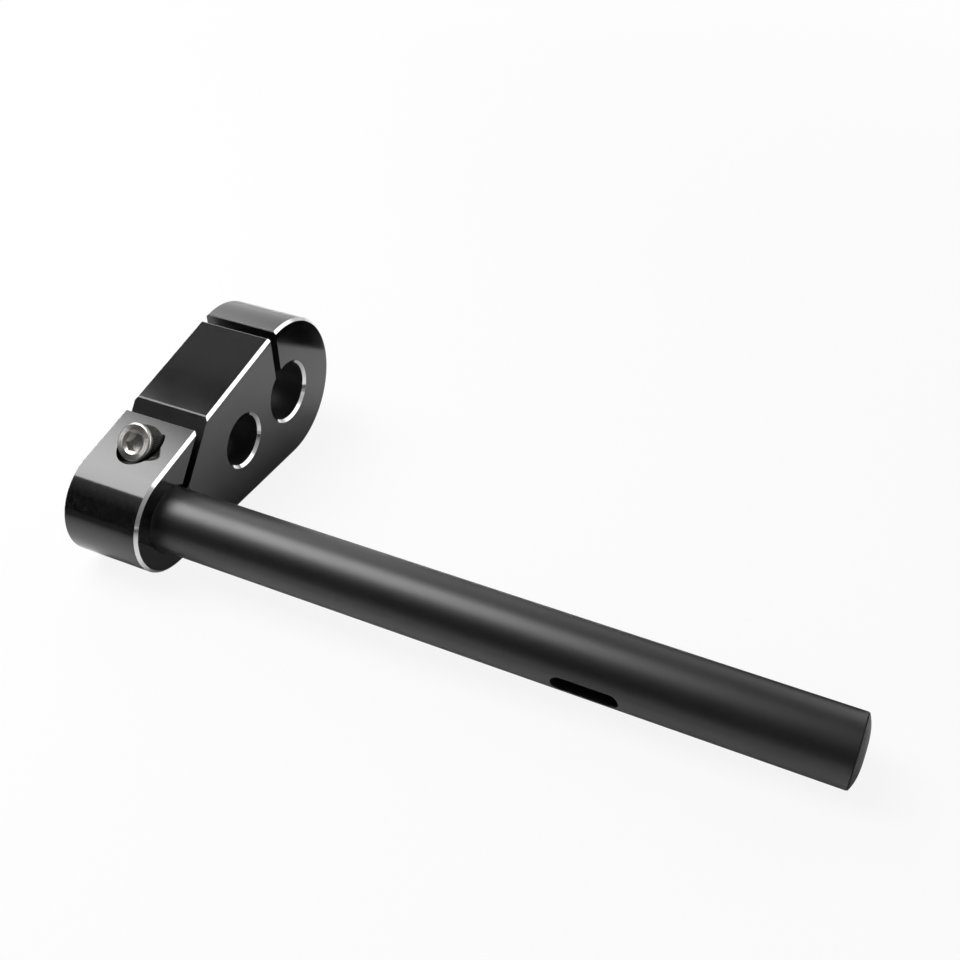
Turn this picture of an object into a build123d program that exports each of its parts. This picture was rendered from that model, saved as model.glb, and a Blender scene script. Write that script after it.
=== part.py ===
"""Clamp-on handlebar riser: a billet clamp body that lifts a bar tube off the bar it clamps to.

Frame: +X runs outward along the bar tube, +Y runs along the body from the bar bore towards the
mount bore, and +Z is up, square to the flat lower face of the body.
The origin is the centre of the mount bore, half way through the body's width.
All sizes are in millimetres.
"""
from build123d import *
from math import asin, cos, degrees, radians, sin
import os

# Body: two round ends joined by straight flanks
body_width = 30.0
bore_spacing = 73.0
bar_end_radius = 19.0
mount_end_radius = 28.0
outline_chamfer = 1.0
rim_chamfer = 1.0

# Bores, and the lightening hole between them
bar_bore_clearance = 0.05
mount_bore_diameter = 22.2
middle_hole_diameter = 19.0
middle_hole_from_bar = 43.0

# Slits that let the two bores close, with their angles from the lower face
bar_slit_width = 4.1
bar_slit_offset = 1.8
bar_slit_lean = 45.0
mount_slit_width = 3.7
mount_slit_past_flat = 0.48
mount_slit_angle = 93.5
slit_overshoot = 10.0
slit_edge_chamfer = 0.3

# Socket-head clamp screws
head_diameter = 13.0
head_height = 8.0
head_edge = 0.7
socket_across_flats = 6.0
socket_depth = 4.0
shank_diameter = 8.0
shank_tip_chamfer = 0.8
bar_screw_length = 20.0
mount_screw_length = 30.0

# Holes for the screws
counterbore_diameter = 15.0
mount_counterbore_diameter = 14.0
screw_hole_diameter = 9.0
thread_clearance = 0.1
thread_run_out = 2.0
bar_screw_above_tube = 10.4
bar_seat_before_slit = 3.4
mount_screw_above_bore = 5.7
mount_seat_before_slit = 9.4

# Bar tube with its wire slot
tube_diameter = 22.2
tube_wall = 3.0
tube_length = 256.7
tube_end_chamfer = 0.3
slot_length = 21.0
slot_width = 6.0
slot_from_body = 151.2
slot_angle = 192.7

# Plug in the outer end of the tube
plug_flange = 2.5
plug_edge_radius = 1.4
plug_spigot_length = 14.0
plug_spigot_wall = 2.0
plug_spigot_clearance = 0.05
plug_lead_in = 1.0

# Line between the two bores, measured from the flat lower face
line_rise = asin((mount_end_radius - bar_end_radius) / bore_spacing)
line_angle = degrees(line_rise)
half_width = body_width / 2
bar_y = -bore_spacing * cos(line_rise)
bar_z = -bore_spacing * sin(line_rise)
bar_slit_angle = line_angle + bar_slit_lean

# The mount slit straddles the line where the flat top runs into the mount end's round
top_angle = 2 * line_angle + 90
mount_slit_offset = mount_end_radius * sin(radians(top_angle - mount_slit_angle)) - mount_slit_past_flat


def across(angle, along, left=0.0):
    """A point of the YZ plane: so far along a direction, and so far to its left."""
    a = radians(angle)
    return along * cos(a) - left * sin(a), along * sin(a) + left * cos(a)


def facing(y, z, angle):
    """A plane at mid-width whose normal points in the given direction of the YZ plane."""
    a = radians(angle)
    return Plane(origin=(0, y, z), x_dir=(1, 0, 0), z_dir=(0, cos(a), sin(a)))


def along_slit(y, z, angle):
    """A plane square to X at a bore's centre, with its own x axis along the slit."""
    a = radians(angle)
    return Plane(origin=(0, y, z), x_dir=(0, cos(a), sin(a)), z_dir=(1, 0, 0))


def on_slit(edge, plane, offset, width):
    """Whether an edge is one of the two that a slit leaves along its mouth, outside the bore."""
    place = plane.to_local_coords(edge.center())
    return place.X > tube_diameter / 2 + slit_edge_chamfer and abs(abs(place.Y - offset) - width / 2) < 0.001


bar_slit = along_slit(bar_y, bar_z, bar_slit_angle)
mount_slit = along_slit(0, 0, mount_slit_angle)

# Each screw lies square to its slit, and its head seats a set distance before it
bar_screw_height = tube_diameter / 2 + bar_screw_above_tube
mount_screw_height = mount_bore_diameter / 2 + mount_screw_above_bore
bar_screw_angle = bar_slit_angle + 90
bar_seat_along = -(bar_slit_offset - bar_slit_width / 2) + bar_seat_before_slit
bar_seat_y, bar_seat_z = across(bar_screw_angle, bar_seat_along, -bar_screw_height)
bar_seat = facing(bar_y + bar_seat_y, bar_z + bar_seat_z, bar_screw_angle)

mount_screw_angle = mount_slit_angle - 90
mount_seat_along = -(mount_slit_offset - mount_slit_width / 2) + mount_seat_before_slit
mount_seat_y, mount_seat_z = across(mount_screw_angle, mount_seat_along, mount_screw_height)
mount_seat = facing(mount_seat_y, mount_seat_z, mount_screw_angle)

# Clamp body
far_angle = line_angle
bar_low = (bar_y, bar_z - bar_end_radius)
mount_low = (0, -mount_end_radius)
mount_far = across(far_angle, mount_end_radius)
mount_top = across(top_angle, mount_end_radius)
bar_top_y, bar_top_z = across(top_angle, bar_end_radius)
bar_top = (bar_y + bar_top_y, bar_z + bar_top_z)
bar_far_y, bar_far_z = across(far_angle, -bar_end_radius)
bar_far = (bar_y + bar_far_y, bar_z + bar_far_z)
middle_y, middle_z = across(far_angle, middle_hole_from_bar)

with BuildPart() as clamp_body:
    with BuildSketch(Plane.YZ):
        with BuildLine():
            Line(bar_low, mount_low)
            ThreePointArc(mount_low, mount_far, mount_top)
            Line(mount_top, bar_top)
            ThreePointArc(bar_top, bar_far, bar_low)
        make_face()
        with Locations((bar_y, bar_z)):
            Circle(tube_diameter / 2 + bar_bore_clearance, mode=Mode.SUBTRACT)
        with Locations((bar_y + middle_y, bar_z + middle_z)):
            Circle(middle_hole_diameter / 2, mode=Mode.SUBTRACT)
        Circle(mount_bore_diameter / 2, mode=Mode.SUBTRACT)
    extrude(amount=half_width, both=True)

    # Bright chamfers round both side faces and round the mouths of the holes
    sides = clamp_body.faces().filter_by(Axis.X).sort_by(Axis.X)
    outlines = [edge for side in sides for edge in side.outer_wire().edges()]
    chamfer(outlines, length=outline_chamfer)
    sides = clamp_body.faces().filter_by(Axis.X).sort_by(Axis.X)
    mouths = [edge for side in sides for wire in side.inner_wires() for edge in wire.edges()]
    chamfer(mouths, length=rim_chamfer)

    # Slit from the bar bore out through the top face
    slit_reach = mount_end_radius + bar_end_radius + slit_overshoot
    with BuildSketch(bar_slit):
        with Locations((slit_reach / 2, -bar_slit_offset)):
            Rectangle(slit_reach, bar_slit_width)
    extrude(amount=half_width, both=True, mode=Mode.SUBTRACT)

    # Slit from the mount bore up through the top face
    with BuildSketch(mount_slit):
        with Locations((slit_reach / 2, mount_slit_offset)):
            Rectangle(slit_reach, mount_slit_width)
    extrude(amount=half_width, both=True, mode=Mode.SUBTRACT)

    # The edges where the slits leave the top face are broken with a fine chamfer
    long_edges = clamp_body.edges().filter_by(Axis.X)
    bar_edges = long_edges.filter_by(lambda edge: on_slit(edge, bar_slit, -bar_slit_offset, bar_slit_width))
    mount_edges = long_edges.filter_by(lambda edge: on_slit(edge, mount_slit, mount_slit_offset, mount_slit_width))
    chamfer(bar_edges + mount_edges, length=slit_edge_chamfer)

    # Round pocket, clearance hole and threaded hole of each clamp screw
    for seat, pocket, before_slit, slit, length in (
        (bar_seat, counterbore_diameter, bar_seat_before_slit, bar_slit_width, bar_screw_length),
        (mount_seat, mount_counterbore_diameter, mount_seat_before_slit, mount_slit_width, mount_screw_length),
    ):
        with Locations(seat.offset(mount_end_radius)):
            CounterBoreHole(
                radius=screw_hole_diameter / 2,
                counter_bore_radius=pocket / 2,
                counter_bore_depth=mount_end_radius,
                depth=mount_end_radius + before_slit + slit / 2,
            )
        with Locations(seat):
            Hole(radius=shank_diameter / 2 + thread_clearance, depth=length + thread_run_out)

# Bar tube
tube_start = Plane.YZ.offset(-half_width)
slot_plane = Plane(
    origin=(half_width + slot_from_body, bar_y, bar_z),
    x_dir=(1, 0, 0),
    z_dir=(0, cos(radians(slot_angle)), sin(radians(slot_angle))),
)
with BuildPart() as handlebar_tube:
    with BuildSketch(tube_start):
        with Locations((bar_y, bar_z)):
            Circle(tube_diameter / 2)
            Circle(tube_diameter / 2 - tube_wall, mode=Mode.SUBTRACT)
    extrude(amount=tube_length)
    ends = handlebar_tube.faces().filter_by(Axis.X)
    chamfer([edge for end in ends for edge in end.outer_wire().edges()], length=tube_end_chamfer)
    with BuildSketch(slot_plane):
        SlotOverall(slot_length, slot_width)
    extrude(amount=tube_diameter / 2, mode=Mode.SUBTRACT)

# Plug: a cup that pushes into the tube, under a flange as wide as the tube
spigot_radius = tube_diameter / 2 - tube_wall - plug_spigot_clearance
plug_face = Plane.YZ.offset(tube_length - half_width)
with BuildPart() as bar_end_plug:
    with BuildSketch(plug_face):
        with Locations((bar_y, bar_z)):
            Circle(tube_diameter / 2)
    extrude(amount=plug_flange)
    outer_rim = bar_end_plug.faces().sort_by(Axis.X)[-1].edges()
    fillet(outer_rim, radius=plug_edge_radius)
    with BuildSketch(plug_face):
        with Locations((bar_y, bar_z)):
            Circle(spigot_radius)
    extrude(amount=-plug_spigot_length)
    lead_in = bar_end_plug.faces().sort_by(Axis.X)[0].edges()
    chamfer(lead_in, length=plug_lead_in)
    with BuildSketch(plug_face.offset(-plug_spigot_length)):
        with Locations((bar_y, bar_z)):
            Circle(spigot_radius - plug_spigot_wall)
    extrude(amount=plug_spigot_length, mode=Mode.SUBTRACT)


def socket_screw(seat, length):
    """A socket-head cap screw whose head rests on the seat plane and whose shank runs into it."""
    with BuildPart() as screw:
        with BuildSketch(seat):
            Circle(head_diameter / 2)
        extrude(amount=head_height)
        head_top = seat.offset(head_height)
        rim = screw.faces().filter_by(GeomType.PLANE).sort_by(Axis(seat.origin, seat.z_dir))[-1].edges()
        chamfer(rim, length=head_edge)
        with BuildSketch(head_top):
            RegularPolygon(socket_across_flats / 2, 6, major_radius=False)
        extrude(amount=-socket_depth, mode=Mode.SUBTRACT)
        with BuildSketch(seat):
            Circle(shank_diameter / 2)
        extrude(amount=-length)
        tip = screw.faces().filter_by(GeomType.PLANE).sort_by(Axis(seat.origin, seat.z_dir))[0].edges()
        chamfer(tip, length=shank_tip_chamfer)
    return screw


bar_clamp_bolt = socket_screw(bar_seat, bar_screw_length)
mount_clamp_bolt = socket_screw(mount_seat, mount_screw_length)

clamp_body.part.label = "clamp_body"
handlebar_tube.part.label = "handlebar_tube"
bar_end_plug.part.label = "bar_end_plug"
bar_clamp_bolt.part.label = "bar_clamp_bolt"
mount_clamp_bolt.part.label = "mount_clamp_bolt"

os.makedirs("parts", exist_ok=True)
export_step(clamp_body.part, "parts/clamp_body.step")
export_step(handlebar_tube.part, "parts/handlebar_tube.step")
export_step(bar_end_plug.part, "parts/bar_end_plug.step")
export_step(bar_clamp_bolt.part, "parts/bar_clamp_bolt.step")
export_step(mount_clamp_bolt.part, "parts/mount_clamp_bolt.step")

for piece in (clamp_body, handlebar_tube, bar_end_plug, bar_clamp_bolt, mount_clamp_bolt):
    box = piece.part.bounding_box()
    print(piece.part.label, "volume", round(piece.part.volume, 1), "from", box.min, "to", box.max)
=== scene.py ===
# %% [markdown]
# A clamp-on handlebar riser is three things bolted together: a machined aluminium body that
# clamps on the motorcycle's own bar, a straight tube for the grip, and a plastic plug in the
# tube's end. Their exact solids come from the model, so this lesson is about what light does to
# them: a smooth black anodised face, bare bright chamfers, a blasted tube and stainless screws.

import bpy
import numpy as np
from mathutils import Matrix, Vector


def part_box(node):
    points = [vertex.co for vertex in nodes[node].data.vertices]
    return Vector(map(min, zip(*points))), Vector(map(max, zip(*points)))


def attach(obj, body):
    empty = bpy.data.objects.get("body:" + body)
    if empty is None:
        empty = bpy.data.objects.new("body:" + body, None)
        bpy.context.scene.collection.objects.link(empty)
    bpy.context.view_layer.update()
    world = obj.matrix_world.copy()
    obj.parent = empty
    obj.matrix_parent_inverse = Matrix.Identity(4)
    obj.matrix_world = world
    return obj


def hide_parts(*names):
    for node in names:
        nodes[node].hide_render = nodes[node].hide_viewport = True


mm = 0.001
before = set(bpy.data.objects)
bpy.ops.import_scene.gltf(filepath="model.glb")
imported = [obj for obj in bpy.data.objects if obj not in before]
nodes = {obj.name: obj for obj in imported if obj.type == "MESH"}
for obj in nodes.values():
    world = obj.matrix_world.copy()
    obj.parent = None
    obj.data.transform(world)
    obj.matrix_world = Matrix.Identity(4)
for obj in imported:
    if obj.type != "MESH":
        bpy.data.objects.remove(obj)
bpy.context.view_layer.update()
print("solids:", sorted(nodes))

# %% Where things are, measured from the solids
body_low, body_high = (np.array(corner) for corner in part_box("clamp_body"))
tube_low, tube_high = (np.array(corner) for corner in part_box("handlebar_tube"))
plug_low, plug_high = (np.array(corner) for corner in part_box("bar_end_plug"))
bar_y, bar_z = (tube_low[1] + tube_high[1]) / 2, (tube_low[2] + tube_high[2]) / 2
tube_radius = (tube_high[1] - tube_low[1]) / 2
bar_round = bar_y - body_low[1]
mount_round = body_high[1]
rise = np.arcsin((mount_round - bar_round) / np.hypot(bar_y, bar_z))
print("the bar bore is %.1f mm from the mount bore, and the line between them rises %.2f degrees"
      % (np.hypot(bar_y, bar_z) / mm, np.degrees(rise)))

# %% [markdown]
# The photograph is taken from close by, so the near end of the tube looks much larger than the
# far end. The camera therefore stands only some 0.46 m away, with a moderate lens, and is rolled
# by about one degree as a hand-held camera is.

# %% Camera
camera_azimuth = np.radians(24.56)
camera_elevation = np.radians(36.81)
camera_roll = np.radians(1.12)
camera_place = np.array([236.906, -312.066, 241.883]) * mm
lens = 44.75

back = np.array([
    np.sin(camera_azimuth) * np.cos(camera_elevation),
    -np.cos(camera_azimuth) * np.cos(camera_elevation),
    np.sin(camera_elevation),
])
level = np.array([np.cos(camera_azimuth), np.sin(camera_azimuth), 0.0])
upright = np.cross(back, level)
turn = np.eye(4)
turn[:3, 0] = np.cos(camera_roll) * level + np.sin(camera_roll) * upright
turn[:3, 1] = np.cos(camera_roll) * upright - np.sin(camera_roll) * level
turn[:3, 2] = back
turn[:3, 3] = camera_place

camera_data = bpy.data.cameras.new("camera")
camera_data.lens = lens
camera_data.sensor_width = 36.0
camera_data.clip_start = 0.01
camera_data.clip_end = 20.0
camera = bpy.data.objects.new("camera", camera_data)
camera.matrix_world = Matrix(turn.tolist())
bpy.context.scene.collection.objects.link(camera)
bpy.context.scene.camera = camera
bpy.context.scene.view_settings.view_transform = "Standard"
print("the camera stands %.0f mm from the mount bore" % (np.linalg.norm(camera_place) / mm))


# %% [markdown]
# A material is a small graph of nodes. A few helpers keep the graphs short: one starts a
# material, one adds a node and wires its inputs, and the others are the two or three nodes that
# every finish here needs. Noise seldom leaves the range from 0.3 to 0.7, so a value that varies
# with it is spread over that range.

# %% Helpers for materials
noise_low = 0.3
noise_high = 0.7


def new_material(name):
    """A new material with its node tree and its Principled shader."""
    material = bpy.data.materials.new(name)
    material.use_nodes = True
    tree = material.node_tree
    return material, tree, tree.nodes["Principled BSDF"]


def node(tree, kind, *inputs, **settings):
    """Adds a node, sets its options, and fills its inputs in order with values or outputs."""
    made = tree.nodes.new(kind)
    for key, value in settings.items():
        setattr(made, key, value)
    for socket, value in zip(made.inputs, inputs):
        if isinstance(value, bpy.types.NodeSocket):
            tree.links.new(value, socket)
        elif value is not None:
            socket.default_value = value
    return made


def maths(tree, operation, *inputs):
    """The output of one Math node."""
    return node(tree, "ShaderNodeMath", *inputs, operation=operation).outputs[0]


def vectors(tree, operation, *inputs):
    """The vector output of one Vector Math node."""
    return node(tree, "ShaderNodeVectorMath", *inputs, operation=operation).outputs[0]


def measure(tree, operation, *inputs):
    """The number that one Vector Math node gives, such as a length."""
    return node(tree, "ShaderNodeVectorMath", *inputs, operation=operation).outputs["Value"]


def place(tree):
    """The shaded point in the object's own coordinates, in metres."""
    return node(tree, "ShaderNodeTexCoord").outputs["Object"]


def axes(tree, vector):
    """The three coordinates of a vector."""
    return node(tree, "ShaderNodeSeparateXYZ", vector).outputs


def noise(tree, point, per_metre, detail=2.0, roughness=0.5):
    """Noise from 0 to 1 with so many features to the metre."""
    return node(tree, "ShaderNodeTexNoise", point, None, per_metre, detail, roughness).outputs[0]


def spread(tree, value, low, high, to_low, to_high, smooth=False):
    """A value between low and high carried over to between to_low and to_high."""
    style = "SMOOTHSTEP" if smooth else "LINEAR"
    made = node(tree, "ShaderNodeMapRange", value, low, high, to_low, to_high, interpolation_type=style)
    return made.outputs[0]


def vary(tree, pattern, low, high):
    """A number that varies from low to high with a noise."""
    return spread(tree, pattern, noise_low, noise_high, low, high)


def mix(tree, first, share, second):
    """The first pattern with a share of the second, so that both together keep their range."""
    kept = maths(tree, "MULTIPLY", first, 1.0 - share)
    return maths(tree, "ADD", kept, maths(tree, "MULTIPLY", second, share))


def blend(tree, share, first, second):
    """A number that goes from the first to the second value as the share goes from 0 to 1."""
    return node(tree, "ShaderNodeMix", share, None, first, second, data_type="FLOAT").outputs[0]


def colours(tree, share, first, second):
    """A colour that goes from the first to the second as the share goes from 0 to 1."""
    made = node(tree, "ShaderNodeMix", data_type="RGBA")
    tree.links.new(share, made.inputs[0])
    for socket, value in ((made.inputs[6], first), (made.inputs[7], second)):
        if isinstance(value, bpy.types.NodeSocket):
            tree.links.new(value, socket)
        else:
            socket.default_value = (*value, 1.0)
    return made.outputs[2]


def bumps(tree, height, millimetres):
    """A normal bent by a height from 0 to 1 that stands for so many millimetres."""
    made = node(tree, "ShaderNodeBump", 1.0, millimetres * mm)
    tree.links.new(height, made.inputs["Height"])
    return made.outputs[0]


def finish(tree, shader, roughness, colour, normal):
    """Wires the three things that every finish here sets."""
    for value, name in ((roughness, "Roughness"), (colour, "Base Color"), (normal, "Normal")):
        tree.links.new(value, shader.inputs[name])


# %% [markdown]
# The body is milled, anodised black, and only then chamfered along its outline and its bore
# mouths, so the chamfers are bare aluminium. They are found by what they are: faces that lean 45
# degrees out of the side faces, within a chamfer's depth of them. A painted line would need the
# outline again, while this rule follows the solid. Three more places differ from the milled
# faces and are found in the same way: the sawn walls of the slits; the edges beside the slits,
# which get a grey colour as a thin painted highlight where a rounded edge would catch light;
# and the insides of the holes, which are dull and are painted darker as shade.
#
# A hole is given by its centre and radius. A slit is given by the direction square to it, the
# centre of its bore, how far its middle lies from there, its width, and how wide the painted
# highlight along its edges is.

# %% Masks on the body
chamfer = 1.0 * mm
middle_hole_away = 43.0 * mm
middle_hole_y = float(bar_y + middle_hole_away * np.cos(rise))
middle_hole_z = float(bar_z + middle_hole_away * np.sin(rise))
holes = {
    "mount bore": (0.0, 0.0, 11.1 * mm),
    "middle hole": (middle_hole_y, middle_hole_z, 9.5 * mm),
}
bar_centre = (float(bar_y), float(bar_z))
slits = {
    "bar slit": (float(np.degrees(rise)) + 135.0, bar_centre, -1.8 * mm, 4.1 * mm, 0.2 * mm),
    "mount slit": (183.5, (0.0, 0.0), 4.69 * mm, 3.7 * mm, 0.5 * mm),
}
chamfer_depth = 1.03 * chamfer
chamfer_lean = float(np.sqrt(0.5))
lean_margin = 0.06
hole_margin = 0.03 * mm
wall_margin = 0.05 * mm
highlight_reach = 0.52
square_on = 0.999
side_face_lean = 0.3


def within(tree, value, target, margin):
    """One where the value is within a margin of the target, and zero elsewhere."""
    gap = maths(tree, "ABSOLUTE", maths(tree, "SUBTRACT", value, target))
    return maths(tree, "LESS_THAN", gap, margin)


def bare_edges(tree, point, normal):
    """One on the chamfers: the normal leans 45 degrees out of a side face, close to that face."""
    aside = maths(tree, "ABSOLUTE", axes(tree, point)[0])
    near_side = maths(tree, "GREATER_THAN", aside, float(body_high[0] - chamfer_depth))
    lean = maths(tree, "ABSOLUTE", axes(tree, normal)[0])
    return maths(tree, "MULTIPLY", within(tree, lean, chamfer_lean, lean_margin), near_side)


def hole_walls(tree, point):
    """One inside the holes: the distance from an axis, leaving x out, is at most the radius."""
    walls = 0.0
    for y, z, radius in holes.values():
        away = vectors(tree, "SUBTRACT", vectors(tree, "MULTIPLY", point, (0.0, 1.0, 1.0)), (0.0, y, z))
        wall = maths(tree, "LESS_THAN", measure(tree, "LENGTH", away), radius + hole_margin)
        walls = maths(tree, "ADD", walls, wall)
    return walls


def slit_faces(tree, point, normal):
    """Masks of the sawn walls and of the edges beside them, by distance from each slit's middle."""
    walls, edges = 0.0, 0.0
    for degrees, (y, z), offset, width, highlight_width in slits.values():
        angle = np.radians(degrees)
        facing = (0.0, float(np.cos(angle)), float(np.sin(angle)))
        centre = y * facing[1] + z * facing[2] + offset
        lie = measure(tree, "DOT_PRODUCT", point, facing)
        turned = measure(tree, "DOT_PRODUCT", normal, facing)
        aside = maths(tree, "ABSOLUTE", maths(tree, "SUBTRACT", lie, centre))
        square = maths(tree, "GREATER_THAN", maths(tree, "ABSOLUTE", turned), square_on)
        wall = maths(tree, "MULTIPLY", square, within(tree, aside, width / 2, wall_margin))
        band = within(tree, aside, width / 2 + highlight_width / 2, highlight_reach * highlight_width)
        edge = maths(tree, "MULTIPLY", maths(tree, "SUBTRACT", 1.0, square), band)
        walls = maths(tree, "ADD", walls, wall)
        edges = maths(tree, "ADD", edges, edge)
    lean = maths(tree, "ABSOLUTE", axes(tree, normal)[0])
    off_side = maths(tree, "LESS_THAN", lean, side_face_lean)
    return walls, maths(tree, "MULTIPLY", edges, off_side)


# %% Black anodised body with bare chamfers
black, tree, shader = new_material("black_anodised_bare_chamfers")
point = place(tree)
normal = node(tree, "ShaderNodeNewGeometry").outputs["Normal"]
bare = bare_edges(tree, point, normal)
inside = hole_walls(tree, point)
sawn, edge = slit_faces(tree, point, normal)
# The edges beside the slits, outside the holes, carry a painted highlight: a thin grey line in their
# colour.
edge_painted_highlight = maths(tree, "MULTIPLY", edge, maths(tree, "SUBTRACT", 1.0, inside))

cutter = noise(tree, vectors(tree, "MULTIPLY", point, (0.06, 1.0, 1.0)), 3000.0, 3.0, 0.6)
speckle = noise(tree, point, 2400.0, 3.0, 0.65)
mottle = noise(tree, point, 750.0, 3.0, 0.6)
cloud = noise(tree, point, 60.0, 2.0, 0.5)
roughness = vary(tree, mix(tree, speckle, 0.4, cloud), 0.08, 0.14)
roughness = blend(tree, sawn, roughness, vary(tree, cutter, 0.28, 0.42))
roughness = blend(tree, inside, roughness, vary(tree, mottle, 0.48, 0.60))
roughness = blend(tree, edge_painted_highlight, roughness, 0.5)
roughness = blend(tree, bare, roughness, vary(tree, speckle, 0.09, 0.16))

dye = vary(tree, mottle, 0.0, 1.0)
sawn_colour = colours(tree, cutter, (0.0010, 0.0010, 0.0012), (0.0080, 0.0080, 0.0085))
edge_highlight_colour = colours(tree, speckle, (0.13, 0.13, 0.13), (0.21, 0.21, 0.21))
bare_colour = colours(tree, speckle, (0.90, 0.90, 0.89), (0.98, 0.98, 0.97))
colour = colours(tree, dye, (0.0012, 0.0012, 0.0015), (0.0120, 0.0120, 0.0125))
colour = colours(tree, sawn, colour, sawn_colour)
# The insides of the holes are painted darker than the faces, as shade in the recesses.
colour = colours(tree, inside, colour, (0.0020, 0.0020, 0.0022))
colour = colours(tree, edge_painted_highlight, colour, edge_highlight_colour)
colour = colours(tree, bare, colour, bare_colour)
finish(tree, shader, roughness, colour, bumps(tree, maths(tree, "ADD", cutter, speckle), 0.0022))
tree.links.new(bare, shader.inputs["Metallic"])
shader.inputs["IOR"].default_value = 1.8
nodes["clamp_body"].material_slots[0].material = black

# %% [markdown]
# The tube is blasted with fine beads before it is anodised. The pits are finer than the camera
# can part, so most of the finish is a high roughness; a little grain stays visible in the
# highlight.

# %% Blasted black tube
blasted, tree, shader = new_material("blasted_black_tube")
point = place(tree)
grain = noise(tree, point, 2600.0, 2.0, 0.55)
fine = noise(tree, point, 5200.0, 2.0, 0.5)
mottle = noise(tree, point, 90.0, 3.0, 0.5)
roughness = vary(tree, mix(tree, grain, 0.3, mottle), 0.37, 0.45)
colour = colours(tree, grain, (0.0020, 0.0020, 0.0023), (0.0050, 0.0050, 0.0054))
finish(tree, shader, roughness, colour, bumps(tree, maths(tree, "ADD", grain, fine), 0.007))
shader.inputs["IOR"].default_value = 1.85
nodes["handlebar_tube"].material_slots[0].material = blasted

# %% [markdown]
# The plug and the screws are drawn anew, each as one closed surface. A surface is given as rings
# of points: each point is joined to its neighbour and to the next ring, and the first and last
# rings shrink to single points that close the ends.

# %% Closed surfaces from rings
def closed_mesh(name, points, sharp_degrees):
    """A closed mesh from an array of rings by points, with sharp edges above an angle."""
    rings, count = points.shape[:2]
    vertices = np.vstack([points[0, :1], points[1:-1].reshape(-1, 3), points[-1, :1]])
    here = np.arange(count)
    beyond = (here + 1) % count
    row = (1 + np.arange(rings - 3) * count)[:, None]
    corners = [row + here, row + count + here, row + count + beyond, row + beyond]
    quads = np.stack(corners, axis=-1).reshape(-1, 4)
    last_row = 1 + (rings - 3) * count
    first = np.stack([0 * here, 1 + here, 1 + beyond], axis=-1)
    last = np.stack([last_row + here, 0 * here + len(vertices) - 1, last_row + beyond], axis=-1)
    mesh = bpy.data.meshes.new(name)
    mesh.from_pydata(vertices.tolist(), [], first.tolist() + quads.tolist() + last.tolist())
    mesh.shade_smooth()
    mesh.set_sharp_from_angle(angle=float(np.radians(sharp_degrees)))
    return mesh


def add_object(name, mesh, *materials):
    """A new object in the scene, with its materials in order."""
    made = bpy.data.objects.new(name, mesh)
    for material in materials:
        made.data.materials.append(material)
    bpy.context.scene.collection.objects.link(made)
    return made


# %% [markdown]
# The plug is moulded plastic: a cup that pushes into the tube, under a cap that is slightly
# domed. It is turned about the tube's line from one profile, and the dome falls away from its
# middle slowly at first and quickly near the rim, as a high power of the distance does.

# %% Domed end plug
plug_steps = 144
dome_steps = 30
corner_cut = 0.1 * mm
cap_height = 1.9 * mm
cap_rim = 0.08 * mm
dome_power = 3.1
spigot_radius = 8.05 * mm
spigot_length = 14.0 * mm
spigot_wall = 2.0 * mm
lead_in = 1.0 * mm


def plug_profile():
    """Distances out along the tube and radii, from the dome's middle round to the cup's floor."""
    radius = (tube_radius - cap_rim) * np.sin(np.radians(np.linspace(0, 90, dome_steps)))
    share = radius / (tube_radius - cap_rim)
    dome = cap_rim + (cap_height - cap_rim) * (1 - share ** dome_power)
    inner = spigot_radius - spigot_wall
    tail = np.array([
        [0.01 * mm, tube_radius - 0.01 * mm],
        [0.0, tube_radius - corner_cut],
        [0.0, spigot_radius + corner_cut],
        [-corner_cut, spigot_radius],
        [-(spigot_length - lead_in), spigot_radius],
        [-spigot_length, spigot_radius - lead_in],
        [-spigot_length, inner + corner_cut],
        [-spigot_length + corner_cut, inner],
        [-corner_cut, inner],
        [0.0, inner - corner_cut],
        [0.0, 0.0],
    ])
    return np.concatenate([dome, tail[:, 0]]), np.concatenate([radius, tail[:, 1]])


def turned_rings(along, radius, steps):
    """Rings of points about the tube's line, from distances beyond the tube's end and radii."""
    angle = np.linspace(0, 2 * np.pi, steps, endpoint=False)
    x = np.repeat(along[:, None], steps, axis=1)
    y = np.outer(radius, np.cos(angle))
    z = np.outer(radius, np.sin(angle))
    return np.stack([x, y, z], axis=-1) + [tube_high[0], bar_y, bar_z]


moulded, tree, shader = new_material("moulded_end_plug")
point = place(tree)
grain = noise(tree, point, 3200.0, 2.0, 0.5)
flow = noise(tree, vectors(tree, "MULTIPLY", point, (1.0, 0.3, 1.0)), 400.0, 2.0, 0.5)
roughness = spread(tree, maths(tree, "MULTIPLY", grain, flow), 0.1, 0.4, 0.34, 0.48)
colour = colours(tree, flow, (0.012, 0.012, 0.013), (0.022, 0.022, 0.023))
finish(tree, shader, roughness, colour, bumps(tree, grain, 0.004))

plug_mesh = closed_mesh("domed_end_plug", turned_rings(*plug_profile(), plug_steps), 40)
plug = add_object("domed_end_plug", plug_mesh, moulded)
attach(plug, "root")
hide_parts("bar_end_plug")
print("the dome stands %.2f mm out of the tube" % (cap_height / mm))
print("the solid plug reaches from %.1f mm inside the tube to %.1f mm outside it"
      % ((tube_high[0] - plug_low[0]) / mm, (plug_high[0] - tube_high[0]) / mm))

# %% [markdown]
# The screws are turned from bright stainless steel and cold-forged: a straight knurl round the
# head, a rounded top edge, a flat ring with fine turning marks, a countersink and the hexagon
# socket with its drilled bottom. One closed surface gives all of it. Each ring of points has
# heights along the screw and radii that may change with the angle, and only three things do
# change them: the flats of the socket, the grooves of the knurl and the thread.

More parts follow.
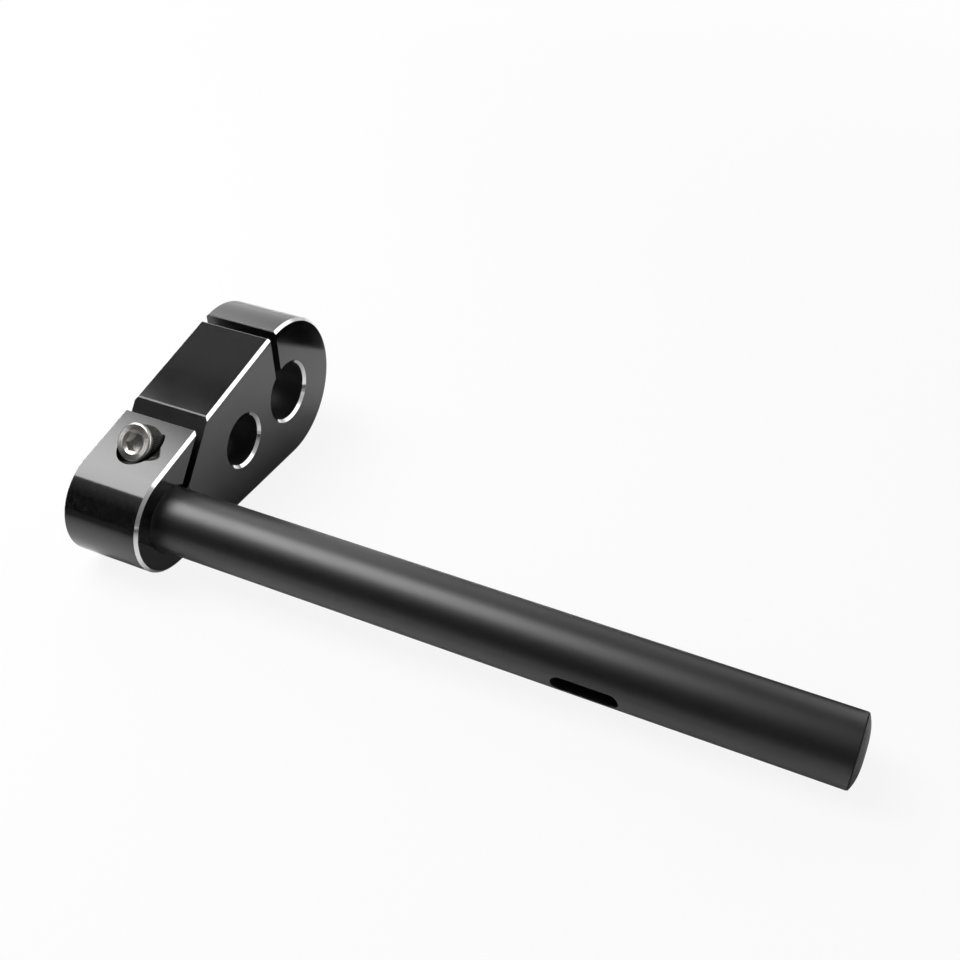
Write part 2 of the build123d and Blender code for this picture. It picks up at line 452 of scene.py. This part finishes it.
# %% Shape of a socket screw
head_radius = 6.5 * mm
head_height = 8.0 * mm
top_edge = 0.7 * mm
knurl_teeth = 60
knurl_depth = 0.13 * mm
knurl_rings = ((0.80, 0.0), (0.77, 1.0), (0.6, 1.0), (0.4, 1.0), (0.2, 1.0), (0.06, 1.0), (0.03, 0.0))
socket_half = 3.0 * mm
socket_depth = 4.0 * mm
socket_turn = 8.0
drill_depth = 0.9 * mm
countersink_radius = 4.1 * mm
countersink_slope = np.tan(np.radians(35))
shank_radius = 4.0 * mm
thread_pitch = 1.25 * mm
thread_depth = 0.6 * mm
thread_start = 1.8 * mm
thread_ends = 3.0 * mm
rings_per_turn = 8
tip_chamfer = 0.8 * mm
points_round = 240
turns = np.radians(np.arange(points_round) * 360 / points_round)


def hexagon(angle, half):
    """How far the wall of a hexagon lies from its centre at each angle."""
    from_flat = (angle - np.radians(socket_turn + 30)) % np.radians(60) - np.radians(30)
    return half / np.cos(from_flat)


def screw_rings(length):
    """The rings of a screw from the bottom of its socket to its tip: heights and radii by angle."""
    rings = []

    def ring(height, radius):
        rings.append((height + 0 * turns, radius + 0 * turns))

    wall = hexagon(turns + np.radians(30), socket_half)
    floor = head_height - socket_depth
    ring(floor - drill_depth, 0.0)
    ring(floor - 0.02 * mm, socket_half * 0.97)
    ring(floor, wall)
    lip = head_height - (countersink_radius - wall) * countersink_slope
    for share in (0.05, 0.35, 0.65, 0.97):
        ring(floor + share * (lip - floor), wall)
    ring(lip, wall)
    for share in (0.04, 0.5, 0.96, 1.0):
        radius = wall + share * (countersink_radius - wall)
        ring(head_height - (countersink_radius - radius) * countersink_slope, radius)
    face_from = len(rings)
    inner = head_radius - top_edge
    for share in (0.03, 0.35, 0.7, 0.98):
        ring(head_height, countersink_radius + share * (inner - countersink_radius))
    face_to = len(rings)
    for angle in np.radians(np.linspace(0, 90, 8)):
        ring(head_height - top_edge * (1 - np.cos(angle)), inner + top_edge * np.sin(angle))

    flank_from = len(rings)
    tooth = np.abs((turns * knurl_teeth / (2 * np.pi)) % 1 - 0.5) * 2
    for height, share in knurl_rings:
        ring(head_height * height, head_radius - share * knurl_depth * tooth)
    ring(0.0, head_radius - 0.2 * mm)
    ring(0.0, shank_radius + 0.3 * mm)
    ring(-0.3 * mm, shank_radius)
    ring(-1.5 * mm, shank_radius)

    steps = int((length - thread_ends) / (thread_pitch / rings_per_turn))
    for step in range(steps):
        height = -thread_start - step * thread_pitch / rings_per_turn
        cut = np.abs((height / thread_pitch - turns / (2 * np.pi)) % 1 - 0.5) * 2
        fade = min(step / rings_per_turn, (steps - 1 - step) / rings_per_turn, 1.0)
        ring(height, shank_radius - fade * thread_depth * np.clip(cut * 1.3 - 0.15, 0, 1))
    ring(-(length - tip_chamfer), shank_radius)
    ring(-length, shank_radius - tip_chamfer)
    ring(-length, 0.0)
    return rings, (face_from, face_to, flank_from)


# %% [markdown]
# The seat of each screw is found on its solid: the screw points along its longest direction, and
# its head is the wide end. Three finishes share a screw by ring: the flat face, the flank with all
# below it, which is painted dark for oil and for the shade in its grooves, and the rest.

# %% Mesh of a socket screw
def screw_mesh(name, seat, direction, length):
    """A screw whose head rests at the seat and looks along the direction."""
    rings, (face_from, face_to, flank_from) = screw_rings(length)
    heights, radii = (np.array(values)[..., None] for values in zip(*rings))
    sideways = np.array([1.0, 0.0, 0.0])
    upwards = np.cross(direction, sideways)
    outwards = np.cos(turns)[:, None] * sideways + np.sin(turns)[:, None] * upwards
    mesh = closed_mesh(name, seat + heights * direction + radii * outwards, 32)
    ring_of_face = np.repeat(np.arange(len(rings) - 1), points_round)
    on_face = (ring_of_face >= face_from) & (ring_of_face < face_to)
    material_of_face = (ring_of_face >= flank_from) + 2 * on_face
    mesh.polygons.foreach_set("material_index", material_of_face.astype(np.int32))
    print(name, "has", len(mesh.vertices), "points, and its flank starts at ring", flank_from)
    return mesh


def screw_frame(name):
    """The seat, direction and length of a screw's solid, from its points."""
    solid = nodes[name]
    cloud = np.empty(len(solid.data.vertices) * 3)
    solid.data.vertices.foreach_get("co", cloud)
    cloud = cloud.reshape(-1, 3)
    shaft = cloud[np.abs(cloud[:, 0]) < 0.3 * mm]
    away = shaft - shaft.mean(axis=0)
    direction = np.linalg.svd(away, full_matrices=False)[2][0]
    direction[0] = 0.0
    direction /= np.linalg.norm(direction)
    wide = cloud[np.abs(cloud[:, 0]) > 0.95 * head_radius]
    if (wide.mean(axis=0) - cloud.mean(axis=0)) @ direction < 0:
        direction = -direction
    along = cloud @ direction
    sideways = np.cross(direction, [1.0, 0.0, 0.0])
    across = wide @ sideways
    centre = (across.max() + across.min()) / 2
    seat = centre * sideways + (along.max() - head_height) * direction
    return seat, direction, along.max() - head_height - along.min()


def new_steel(name, per_metre, detail, grain, rough, dark, light):
    """A steel whose roughness and colour vary with one noise. Its relief is added afterwards."""
    material, tree, shader = new_material(name)
    point = place(tree)
    pattern = noise(tree, point, per_metre, detail, grain)
    tree.links.new(vary(tree, pattern, *rough), shader.inputs["Roughness"])
    tree.links.new(colours(tree, pattern, dark, light), shader.inputs["Base Color"])
    shader.inputs["Metallic"].default_value = 1.0
    return material, tree, shader, point, pattern


steel, tree, shader, point, swirl = new_steel(
    "turned_stainless", 3500.0, 2.0, 0.6, (0.26, 0.40), (0.70, 0.68, 0.65), (0.84, 0.82, 0.79))
tree.links.new(bumps(tree, swirl, 0.003), shader.inputs["Normal"])
# The knurled and threaded flank is a dark steel: oil, and painted shade in the grooves.
flank, tree, shader, point, oil_and_painted_shade = new_steel(
    "knurled_stainless_oil_and_painted_shade", 900.0, 3.0, 0.6, (0.30, 0.46), (0.10, 0.098, 0.095), (0.19, 0.185, 0.18))
tree.links.new(bumps(tree, oil_and_painted_shade, 0.004), shader.inputs["Normal"])
# The flat face is a lighter steel than the rest of the head: painted light, so that it shows brighter.
face, tree, shader, point, scuffs = new_steel(
    "faced_stainless_painted_lighter", 2200.0, 3.0, 0.65, (0.30, 0.44), (0.78, 0.76, 0.73), (0.93, 0.91, 0.88))

seats = []
for name in ("bar_clamp_bolt", "mount_clamp_bolt"):
    seat, direction, length = screw_frame(name)
    print(name, "seat", np.round(seat / mm, 2), "towards", np.round(direction, 4),
          "length %.1f" % (length / mm))
    mesh = screw_mesh(name, seat, direction, length)
    piece = add_object("socket_screw_" + name.split("_")[0], mesh, steel, flank, face)
    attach(piece, "root")
    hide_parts(name)
    seats.append(tuple(float(v) for v in seat))

# %% [markdown]
# The flat face of a head was turned on a lathe, so its marks run round the screw's own line and
# stretch each highlight across them. Both screws share the finish, and the shaded point tells
# which of the two seats is its own.

# %% Turning marks on the heads
mark_spacing = 0.12 * mm
halfway = (seats[0][1] + seats[1][1]) / 2
farther = maths(tree, "GREATER_THAN", axes(tree, point)[1], halfway)
seat = node(tree, "ShaderNodeMix", farther, None, None, None, *seats, data_type="VECTOR").outputs[1]
facing = node(tree, "ShaderNodeNewGeometry").outputs["True Normal"]
around = vectors(tree, "CROSS_PRODUCT", facing, vectors(tree, "SUBTRACT", point, seat))
waves = maths(tree, "MULTIPLY", measure(tree, "LENGTH", around), float(2 * np.pi / mark_spacing))
marks = maths(tree, "ADD", scuffs, maths(tree, "SINE", waves))
tree.links.new(bumps(tree, marks, 0.003), shader.inputs["Normal"])
tree.links.new(vectors(tree, "NORMALIZE", around), shader.inputs["Tangent"])
shader.inputs["Anisotropic"].default_value = 0.85


# %% [markdown]
# The floor is white paper, a little tilted under the part, because the part stands on the heel
# of its body and the end of its tube. In the camera's eyes most of the paper is plain white, as
# in a picture cut out for a shop, and a share of its real light stays so that the shadow does.
# That share fades out with the distance, so that the paper has no edge against the white room.
# In reflections only, the paper is painted darker ahead of the part, except towards the right:
# painted shade, where the light falls off.

# %% Floor
def sheet(name, corners, material):
    """A sheet for the studio, given corner by corner in metres."""
    mesh = bpy.data.meshes.new(name)
    face = tuple(range(len(corners)))
    mesh.from_pydata([tuple(float(v) for v in corner) for corner in corners], [], [face])
    made = add_object(name, mesh, material)
    return made


paper, tree, shader = new_material("white_paper")
x, y, z = axes(tree, place(tree))
ray = node(tree, "ShaderNodeLightPath").outputs
# Seen only in reflections, the paper is painted darker ahead of the part, except towards the right, as
# painted shade.
near = spread(tree, y, -0.20, -0.09, 0.08, 1.0)
rightwards = spread(tree, x, 0.22, 0.34, 0.0, 1.0)
reflected_painted_falloff = blend(tree, rightwards, near, 1.0)
painted_shade_in_reflections = blend(tree, ray["Is Glossy Ray"], 1.0, reflected_painted_falloff)
tree.links.new(colours(tree, painted_shade_in_reflections, (0.0, 0.0, 0.0), (0.94, 0.94, 0.94)), shader.inputs["Base Color"])
shader.inputs["Roughness"].default_value = 0.9
shader.inputs["Specular IOR Level"].default_value = 0.0
plain = node(tree, "ShaderNodeEmission", (1, 1, 1, 1), 1.0)
away = measure(tree, "LENGTH", place(tree))
share = maths(tree, "MULTIPLY", ray["Is Camera Ray"], spread(tree, away, 0.25, 0.9, 0.88, 1.0))
mixed = node(tree, "ShaderNodeMixShader", share, shader.outputs[0], plain.outputs[0])
tree.links.new(mixed.outputs[0], tree.nodes["Material Output"].inputs[0])

heel_x = body_high[0] - chamfer
toe_x = tube_high[0] - 0.3 * mm
slope = (tube_low[2] - body_low[2]) / (toe_x - heel_x)
floor_gap = 0.02 * mm
floor_reach = 4.0


def floor_height(x):
    """The floor's height, a hair under the two lines that the part stands on."""
    return body_low[2] + slope * (x - heel_x) - floor_gap


floor = sheet("floor", [
    (-floor_reach, -floor_reach, floor_height(-floor_reach)),
    (floor_reach, -floor_reach, floor_height(floor_reach)),
    (floor_reach, floor_reach, floor_height(floor_reach)),
    (-floor_reach, floor_reach, floor_height(-floor_reach)),
], paper)
print("the floor leans %.2f degrees" % np.degrees(np.arctan(slope)))


# %% [markdown]
# Glossy black shows nothing but its surroundings, so the studio is laid out by its mirror images.
# A softbox above and to the left, weaker at its right, fills the sloping top of the clamp and the
# long highlight of the tube. A white wall behind, brighter towards the left, gives the rounded far
# end and the tube's far flank. A card at the right lights the chamfers, and a dimmer card behind
# it goes on towards the front and fades. A small black card behind the tube darkens the upper
# part of the big round's side face. A fill card in front lights the floor and isn't seen in any
# reflection. Between them the room is dim, with a paler ceiling at the left, and that keeps the
# rest black.

# %% Studio
def glowing(name, strength):
    """A light-giving material: its strength is a number or is worked out from a node tree."""
    material, tree, shader = new_material(name)
    tree.nodes.remove(shader)
    value = strength(tree) if callable(strength) else strength
    glow = node(tree, "ShaderNodeEmission", None, value)
    tree.links.new(glow.outputs[0], tree.nodes["Material Output"].inputs[0])
    return material


def wall_strength(tree):
    """Falls off from the wall's bright left end, fades upwards at the right, and ends bright again."""
    x, y, z = axes(tree, place(tree))
    steps = maths(tree, "MULTIPLY", maths(tree, "ADD", x, 0.6), -1 / 0.35)
    falling = maths(tree, "ADD", 0.42, maths(tree, "MULTIPLY", 1.05, maths(tree, "EXPONENT", steps)))
    high = spread(tree, z, 0.3, 1.1, 0.0, 1.0)
    rightwards = spread(tree, x, -0.6, 0.0, 0.0, 0.6)
    kept = maths(tree, "SUBTRACT", 1.0, maths(tree, "MULTIPLY", high, rightwards))
    faded = maths(tree, "MULTIPLY", falling, kept)
    return maths(tree, "ADD", faded, spread(tree, x, 0.22, 0.34, 0.0, 0.8))


def softbox_strength(tree):
    """Full strength up to a slanting back edge, where it fades and ends, and weaker at the right."""
    x, y, z = axes(tree, place(tree))
    backwards = maths(tree, "ADD", y, maths(tree, "MULTIPLY", 0.2, maths(tree, "ADD", x, 0.545)))
    fading = spread(tree, backwards, 0.160, 0.212, 5.1, 1.4)
    ending = spread(tree, backwards, 0.212, 0.224, 1.0, 0.0)
    rightwards = spread(tree, x, -0.22, -0.013, 1.0, 0.70)
    return maths(tree, "MULTIPLY", maths(tree, "MULTIPLY", fading, ending), rightwards)


def dim_strength(tree):
    """Falls off along the dim card from the side card towards the front."""
    return spread(tree, axes(tree, place(tree))[1], -0.50, 0.05, 0.16, 0.40)


softbox = sheet("softbox", [
    (-0.85, -0.385, 0.70), (-0.013, -0.385, 0.70), (-0.013, 0.26, 0.70), (-0.85, 0.26, 0.70),
], glowing("softbox", softbox_strength))
back_wall = sheet("back_wall", [
    (-1.2, 0.75, -0.02), (0.75, 0.75, -0.02), (0.75, 0.75, 0.85), (-0.3, 0.75, 1.05), (-1.2, 0.75, 1.05),
], glowing("back_wall", wall_strength))
side_card = sheet("side_card", [
    (0.6, -0.30, 0.10), (0.6, 0.75, 0.10), (0.6, 0.75, 0.75), (0.6, 0.045, 0.70), (0.6, 0.045, 0.45),
], glowing("side_card", 1.4))
dim_card = sheet("dim_card", [
    (0.62, -0.95, -0.006), (0.62, 0.16, -0.006), (0.62, 0.16, 0.75), (0.62, -0.95, 0.75),
], glowing("dim_card", dim_strength))
black_card = sheet("black_card", [
    (0.044, 0.0706, -0.028), (0.066, 0.0646, -0.028), (0.242, -0.0504, -0.028), (0.242, -0.0504, 0.002),
    (0.074, 0.0596, 0.002), (0.066, 0.0646, 0.010), (0.044, 0.0706, 0.010),
], glowing("black_card", 0.0))
fill_card = sheet("fill_card", [
    (-0.2, -0.9, 0.1), (0.6, -0.9, 0.1), (0.6, -0.9, 0.7), (-0.2, -0.9, 0.7),
], glowing("fill_card", 1.2))
fill_card.visible_glossy = False
for card in (softbox, back_wall, side_card, dim_card, black_card, fill_card):
    card.visible_camera = False
for card in (side_card, dim_card, black_card):
    card.visible_diffuse = False
black_card.visible_shadow = False
black_card.visible_transmission = False

# %% World
world = bpy.data.worlds.new("world")
bpy.context.scene.world = world
world.use_nodes = True
tree = world.node_tree
x, y, z = axes(tree, node(tree, "ShaderNodeTexCoord").outputs["Generated"])
ceiling = spread(tree, x, -0.45, -0.10, 0.30, 0.08, smooth=True)
room = blend(tree, spread(tree, z, 0.40, 0.80, 0.0, 1.0, smooth=True), 0.018, ceiling)
seen = node(tree, "ShaderNodeLightPath").outputs["Is Camera Ray"]
tree.links.new(blend(tree, seen, room, 1.0), tree.nodes["Background"].inputs["Strength"])
tree.nodes["Background"].inputs["Color"].default_value = (1, 1, 1, 1)
